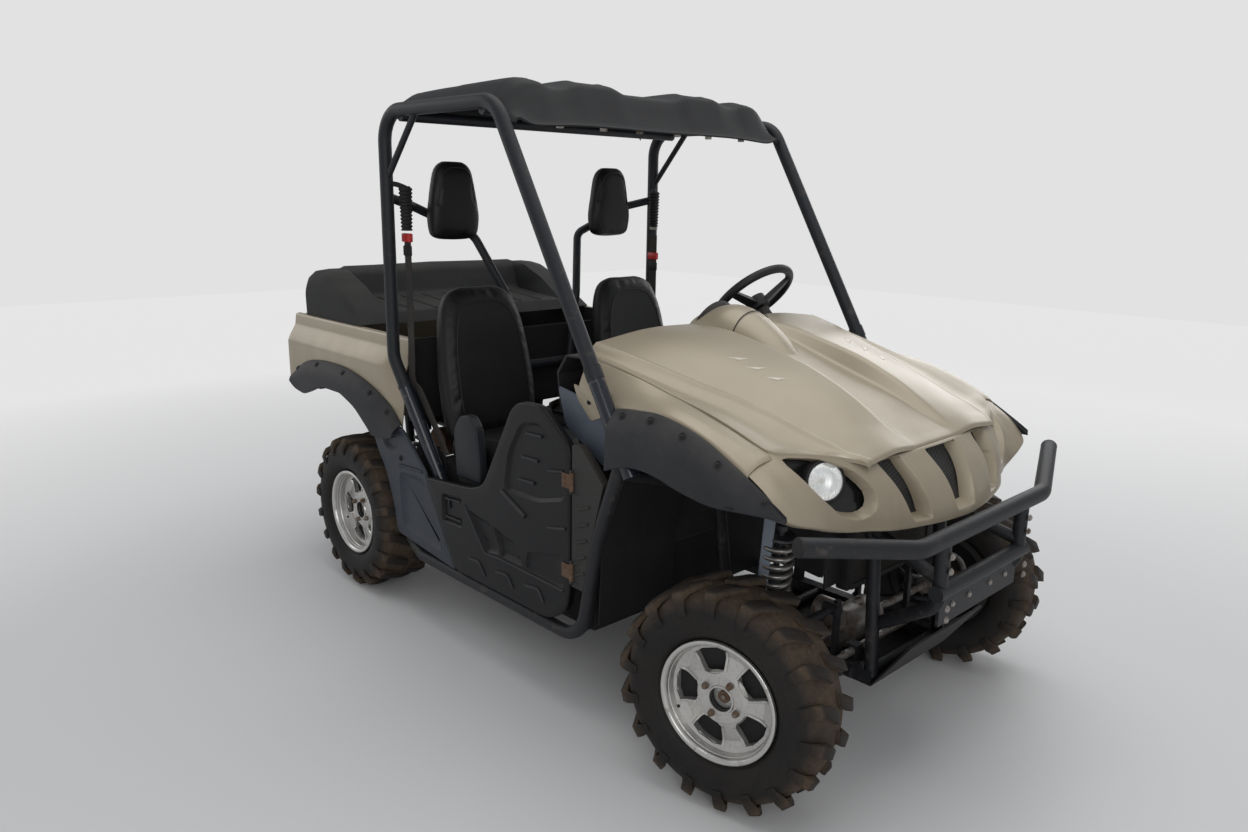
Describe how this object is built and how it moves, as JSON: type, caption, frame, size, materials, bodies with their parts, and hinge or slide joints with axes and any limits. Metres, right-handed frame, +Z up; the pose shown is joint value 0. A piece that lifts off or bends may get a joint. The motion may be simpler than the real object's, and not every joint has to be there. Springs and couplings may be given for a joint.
{
  "type": "side by side utility vehicle",
  "caption": "Small off-road utility vehicle with a roll cage, two seats, half doors, steered front wheels and a tipping cargo bed with a tailgate.",
  "frame": {"origin": "on the ground under the middle of the vehicle's length and width", "axes": "+X forward to the bumper, +Y to the vehicle's left, +Z up"},
  "size_m": [2.885, 1.4814, 1.926],
  "materials": {
    "body_paint": "beige metallic, semi gloss",
    "black_plastic": "textured black",
    "gloss_black": "glossy black",
    "grey_plastic": "dark grey, slightly worn",
    "soft_black": "soft grip",
    "seat_vinyl": "black vinyl",
    "belt_webbing": "dusty woven webbing",
    "bench_plastic": "textured, dusty",
    "frame_paint": "black, worn",
    "cage_paint": "black",
    "bare_steel": "dusty, rust stained",
    "engine_cast": "cast",
    "cast_wheel": "cast, dusty",
    "tyre_rubber": "dusty",
    "lamp_lens": "clear lens",
    "tail_lens": "red lens"
  },
  "bodies": {
    "chassis": {"main_frame": "frame_paint", "floor_pan": "black_plastic", "skid_plate": "black_plastic", "roll_cage": "cage_paint", "roof_panel": "black_plastic", "hood_panel": "body_paint", "instrument_dome": "black_plastic", "nose_panel": "body_paint", "grille_mesh": "black_plastic", "lamp_bezels": "gloss_black", "headlights": "lamp_lens", "front_fenders": "body_paint", "front_flares": "black_plastic", "wheel_liners": "black_plastic", "steering_column": "black_plastic", "dash_panel": "black_plastic", "seats": "seat_vinyl", "seat_base": "black_plastic", "head_rests": "seat_vinyl", "seat_belts": "belt_webbing", "side_panels": "grey_plastic", "hinge_panels": "grey_plastic", "kick_panels": "grey_plastic", "engine_block": "engine_cast", "muffler": "bare_steel", "drive_line": "bare_steel", "front_arms": "frame_paint", "rear_arms": "frame_paint", "front_shocks": "cage_paint", "rear_shocks": "cage_paint", "front_bumper": "frame_paint"},
    "left_knuckle": {"knuckle_left": "bare_steel"},
    "right_knuckle": {"knuckle_right": "bare_steel"},
    "front_left_wheel": {"front_rim_left": "cast_wheel", "front_tyre_left": "tyre_rubber"},
    "front_right_wheel": {"front_rim_right": "cast_wheel", "front_tyre_right": "tyre_rubber"},
    "rear_left_wheel": {"rear_rim_left": "cast_wheel", "rear_tyre_left": "tyre_rubber"},
    "rear_right_wheel": {"rear_rim_right": "cast_wheel", "rear_tyre_right": "tyre_rubber"},
    "rack": {"steering_rack": "bare_steel"},
    "hand_wheel": {"steering_wheel": "soft_black"},
    "left_door": {"door_left": "black_plastic"},
    "right_door": {"door_right": "black_plastic"},
    "bed": {"cargo_bed": "black_plastic", "bed_sides": "body_paint", "rear_flares": "black_plastic", "bed_bench": "bench_plastic", "tail_lamps": "tail_lens"},
    "gate": {"tailgate": "body_paint"}
  },
  "joints": [
    {"name": "left_steer", "type": "hinge", "parent": "chassis", "child": "left_knuckle", "pos_m": [1.0425, 0.527, 0.308], "axis": [0, 0, 1], "range_deg": [-39, 16]},
    {"name": "right_steer", "type": "hinge", "parent": "chassis", "child": "right_knuckle", "pos_m": [1.0425, -0.527, 0.308], "axis": [0, 0, 1], "range_deg": [-39, 16]},
    {"name": "rack_slide", "type": "slide", "parent": "chassis", "child": "rack", "axis": [0, 1, 0], "range_m": [-0.075, 0.032]},
    {"name": "hand_wheel_turn", "type": "hinge", "parent": "chassis", "child": "hand_wheel", "pos_m": [0.325, 0.33, 1.215], "axis": [-0.7071, 0, 0.7071], "range_deg": [-352, 145]},
    {"name": "front_left_spin", "type": "hinge", "parent": "left_knuckle", "child": "front_left_wheel", "pos_m": [1.02974, 0.58972, 0.308], "axis": [-0.1994, 0.9799, 0], "continuous": true},
    {"name": "front_right_spin", "type": "hinge", "parent": "right_knuckle", "child": "front_right_wheel", "pos_m": [1.05526, -0.58972, 0.308], "axis": [-0.1994, 0.9799, 0], "continuous": true},
    {"name": "rear_left_spin", "type": "hinge", "parent": "chassis", "child": "rear_left_wheel", "pos_m": [-0.8675, 0.5655, 0.308], "axis": [0, 1, 0], "continuous": true},
    {"name": "rear_right_spin", "type": "hinge", "parent": "chassis", "child": "rear_right_wheel", "pos_m": [-0.8675, -0.5655, 0.308], "axis": [0, 1, 0], "continuous": true},
    {"name": "left_door_swing", "type": "hinge", "parent": "chassis", "child": "left_door", "pos_m": [0.486, 0.659, 0.5], "axis": [0, 0, -1], "range_deg": [0, 70]},
    {"name": "right_door_swing", "type": "hinge", "parent": "chassis", "child": "right_door", "pos_m": [0.486, -0.659, 0.5], "axis": [0, 0, 1], "range_deg": [0, 70]},
    {"name": "bed_tip", "type": "hinge", "parent": "chassis", "child": "bed", "pos_m": [-1.196, 0, 0.65], "axis": [0, -1, 0], "range_deg": [0, 40]},
    {"name": "gate_drop", "type": "hinge", "parent": "bed", "child": "gate", "pos_m": [-1.4315, 0, 0.753], "axis": [0, -1, 0], "range_deg": [0, 90]}
  ],
  "couplings": [
    {"joint": "right_steer", "follows": "left_steer", "ratio": 1},
    {"joint": "rack_slide", "follows": "left_steer", "m_per_rad": 0.1058},
    {"joint": "hand_wheel_turn", "follows": "left_steer", "ratio": 9}
  ]
}
